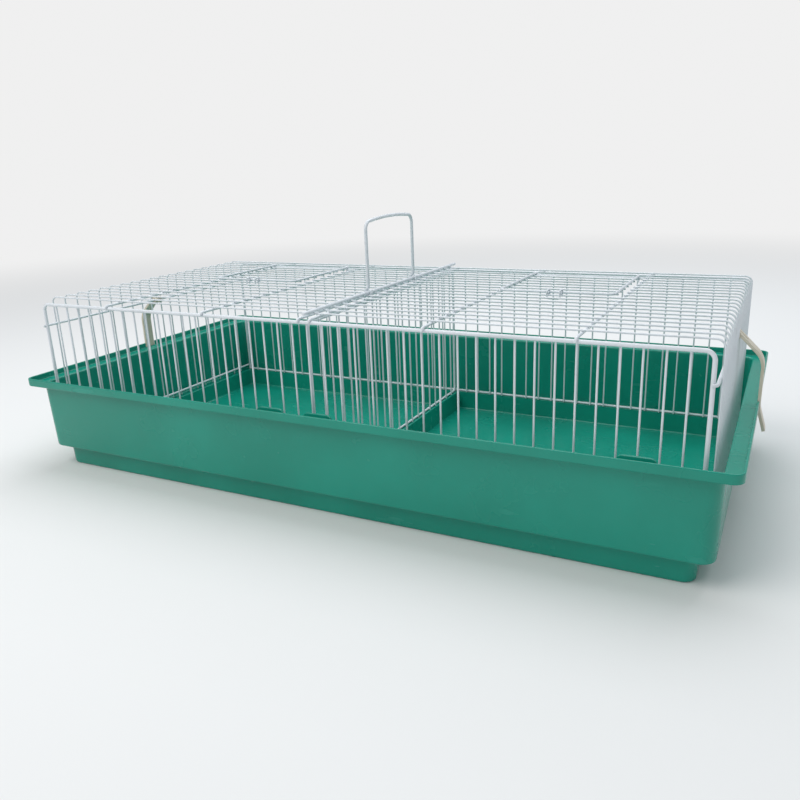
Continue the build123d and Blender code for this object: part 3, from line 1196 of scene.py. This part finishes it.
@dataclass
class RoofDoor(CagePart):
    """Door in the roof, with the latch loop on its front wire."""

    name: str
    corner: float = 0.006
    hinge_wrap: float = math.radians(225)
    latch_corner: float = 0.0022
    latch_wrap: float = math.radians(265)
    play: float = 0.0003
    middle: Vector = field(init=False)
    half_width: float = field(init=False)
    front: float = field(init=False)
    hinge: float = field(init=False)
    level: float = field(init=False)

    def __post_init__(self) -> None:
        """Take the door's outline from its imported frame."""
        low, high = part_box(f"{self.name}_door_frame")
        half = self.gauges.door.thick / 2
        self.middle = X_WAY * (low.x + high.x) / 2
        self.half_width = (high.x - low.x) / 2 - half
        self.front, self.hinge = self.gauges.door_reach(self.name)
        self.level = high.z - half

    def build(self) -> None:
        """Make the door's frame, its bars and its latch."""
        self.frame_wire()
        self.bars()
        self.latch()

    def frame_wire(self) -> None:
        """Bend one half of the frame, with its hinge curl, and mirror it."""
        curl = self.level - middle_of("roof_wires").z
        shape = bmesh.new()
        wire = WireBender(shape, Vector((0, self.front, self.level)), X_WAY, self.gauges.door)
        wire.run(self.half_width - self.corner).bend(QUARTER, self.corner, Y_WAY)
        wire.run(self.hinge - self.front - self.corner).bend(self.hinge_wrap, curl, -Z_WAY).tip()
        mirrored(shape, "X")
        self.finisher.wire(moved(shape, self.middle), f"{self.name}_door_frame", f"{self.name}_door")

    def bars(self) -> None:
        """Lay the bars under the frame, in line with the roof wires."""
        node = f"{self.name}_door_bars"
        low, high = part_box(node)
        level = middle_of(node).z
        shape = bmesh.new()
        for row in self.gauges.roof_rows():
            if self.front < row < self.hinge:
                straight_wire(shape, Vector((low.x, row, level)), X_WAY, high.x - low.x, self.gauges.mesh)
        self.finisher.wire(shape, node, f"{self.name}_door")

    def latch(self) -> None:
        """Bend one half of the loop, which ends in a curl round the door's front wire."""
        node = f"{self.name}_door_latch"
        low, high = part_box(node)
        half = self.gauges.latch.thick / 2
        curl = self.gauges.door.thick / 2 + half + self.play
        tip_y = low.y + half
        rise = self.level + curl - low.z - half
        shape = bmesh.new()
        wire = WireBender(shape, Vector((0, tip_y, low.z + half)), X_WAY, self.gauges.latch)
        wire.run((high.x - low.x) / 2 - half - self.latch_corner).bend(QUARTER, self.latch_corner, Z_WAY)
        wire.run(rise - 2 * self.latch_corner).bend(QUARTER, self.latch_corner, Y_WAY)
        wire.run(self.front - tip_y - self.latch_corner).bend(self.latch_wrap, curl, -Z_WAY).tip()
        mirrored(shape, "X")
        self.finisher.wire(moved(shape, self.middle), node, f"{self.name}_latch")


# Clips


@dataclass
class EndClip(CagePart):
    """Plastic clip that hooks on the end rod and snaps under the rim."""

    name: str
    play: float = 0.0003
    ease: float = 0.0006
    flat_angle: float = math.radians(1)
    corner_angle: float = math.radians(35)
    crease_angle: float = math.radians(50)

    def build(self) -> None:
        """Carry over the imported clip, made to pass between two end wires, with its corners eased."""
        node = f"{self.name}_end_clip"
        shape = bmesh.new()
        shape.from_mesh(frame["nodes"][node].data)
        bmesh.ops.remove_doubles(shape, verts=shape.verts[:], dist=TOUCH)
        nearest = min(row for row in self.gauges.roof_rows() if row > 0)
        room = nearest - self.gauges.mesh.thick / 2 - self.play
        bmesh.ops.scale(shape, verts=shape.verts[:], vec=(1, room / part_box(node)[1].y, 1))
        bmesh.ops.dissolve_limit(shape, angle_limit=self.flat_angle, verts=shape.verts[:],
                                 edges=shape.edges[:])
        sharp = [edge for edge in shape.edges if edge.calc_face_angle(0) > self.corner_angle]
        eased(shape, sharp, self.ease, 2, clamp=True)
        crease(shape, self.crease_angle)
        self.finisher.hand_in(to_mesh(shape, f"{node}_finished"), f"{self.name}_clip", Slot.CLIP, [node])


# Studio


@dataclass(frozen=True)
class Lamp:
    """A square soft lamp that faces the cage."""

    name: str
    place: tuple
    size: float
    power: float
    colour: tuple
    aim: tuple = (0, 0, 0.1)

    def hang(self) -> None:
        """Add the lamp to the scene."""
        data = bpy.data.lights.new(self.name, "AREA")
        data.shape = "SQUARE"
        data.size = self.size
        data.energy = self.power
        data.color = self.colour
        lamp = bpy.data.objects.new(self.name, data)
        lamp.location = self.place
        lamp.rotation_euler = (Vector(self.aim) - Vector(self.place)).to_track_quat("-Z", "Y").to_euler()
        bpy.context.scene.collection.objects.link(lamp)


@dataclass
class Studio:
    """Pale floor, soft light and the camera."""

    camera_place: tuple = (0.4362, -0.8236, 0.3623)
    camera_turn: tuple = (math.radians(72.60), math.radians(2.16), math.radians(26.98))
    lens: float = 34.02
    sensor: float = 36.0
    near_clip: float = 0.01
    floor_size: float = 40.0
    sky_colour: tuple = (0.90, 0.95, 1.0)
    sky_strength: float = 0.46
    lamps: tuple = (
        Lamp("key", place=(-0.9, -1.3, 1.9), size=1.6, power=25.0, colour=(1.0, 0.98, 0.95)),
        Lamp("top", place=(0.1, 0.9, 2.2), size=2.2, power=36.0, colour=(0.94, 0.97, 1.0)),
    )

    def build(self) -> None:
        """Set the stage."""
        self.floor()
        self.world()
        for lamp in self.lamps:
            lamp.hang()
        self.camera()

    def floor(self) -> None:
        """A wide plain floor."""
        shape = bmesh.new()
        bmesh.ops.create_grid(shape, x_segments=1, y_segments=1, size=self.floor_size / 2)
        floor = to_mesh(shape, "stage_floor")
        floor.data.materials.append(StagePaint().material())

    def world(self) -> None:
        """Plain pale surroundings, white to the camera and softer as light."""
        world = bpy.data.worlds.new("studio")
        bpy.context.scene.world = world
        world.use_nodes = True
        tree = world.node_tree
        tree.nodes.clear()
        paths = tree.nodes.new("ShaderNodeLightPath")
        mix = tree.nodes.new("ShaderNodeMixShader")
        out = tree.nodes.new("ShaderNodeOutputWorld")
        tree.links.new(paths.outputs["Is Camera Ray"], mix.inputs["Fac"])
        shades = ((self.sky_colour, self.sky_strength), ((1, 1, 1), StagePaint.far_white[0]))
        for number, (colour, strength) in enumerate(shades, start=1):
            shade = tree.nodes.new("ShaderNodeBackground")
            shade.inputs["Color"].default_value = (*colour, 1)
            shade.inputs["Strength"].default_value = strength
            tree.links.new(shade.outputs[0], mix.inputs[number])
        tree.links.new(mix.outputs[0], out.inputs["Surface"])

    def camera(self) -> None:
        """Stand the camera where the photograph was taken from."""
        data = bpy.data.cameras.new("camera")
        data.lens = self.lens
        data.sensor_width = self.sensor
        data.clip_start = self.near_clip
        camera = bpy.data.objects.new("camera", data)
        camera.location = self.camera_place
        camera.rotation_euler = self.camera_turn
        bpy.context.scene.collection.objects.link(camera)
        bpy.context.scene.camera = camera
        bpy.context.scene.view_settings.view_transform = "Standard"


def main() -> None:
    """Build the studio and every piece of the cage."""
    logging.basicConfig(level=logging.INFO, format="%(message)s")
    Studio().build()
    finisher = Finisher()
    gauges = Gauges()
    Tray(finisher).build()
    for side in ("front", "back"):
        Panel(gauges, finisher, side).build()
    for part in (Roof, Partition, Handle):
        part(gauges, finisher).build()
    for name in SIDES:
        RoofDoor(gauges, finisher, name).build()
        EndClip(gauges, finisher, name).build()


if __name__ == "__main__":
    main()
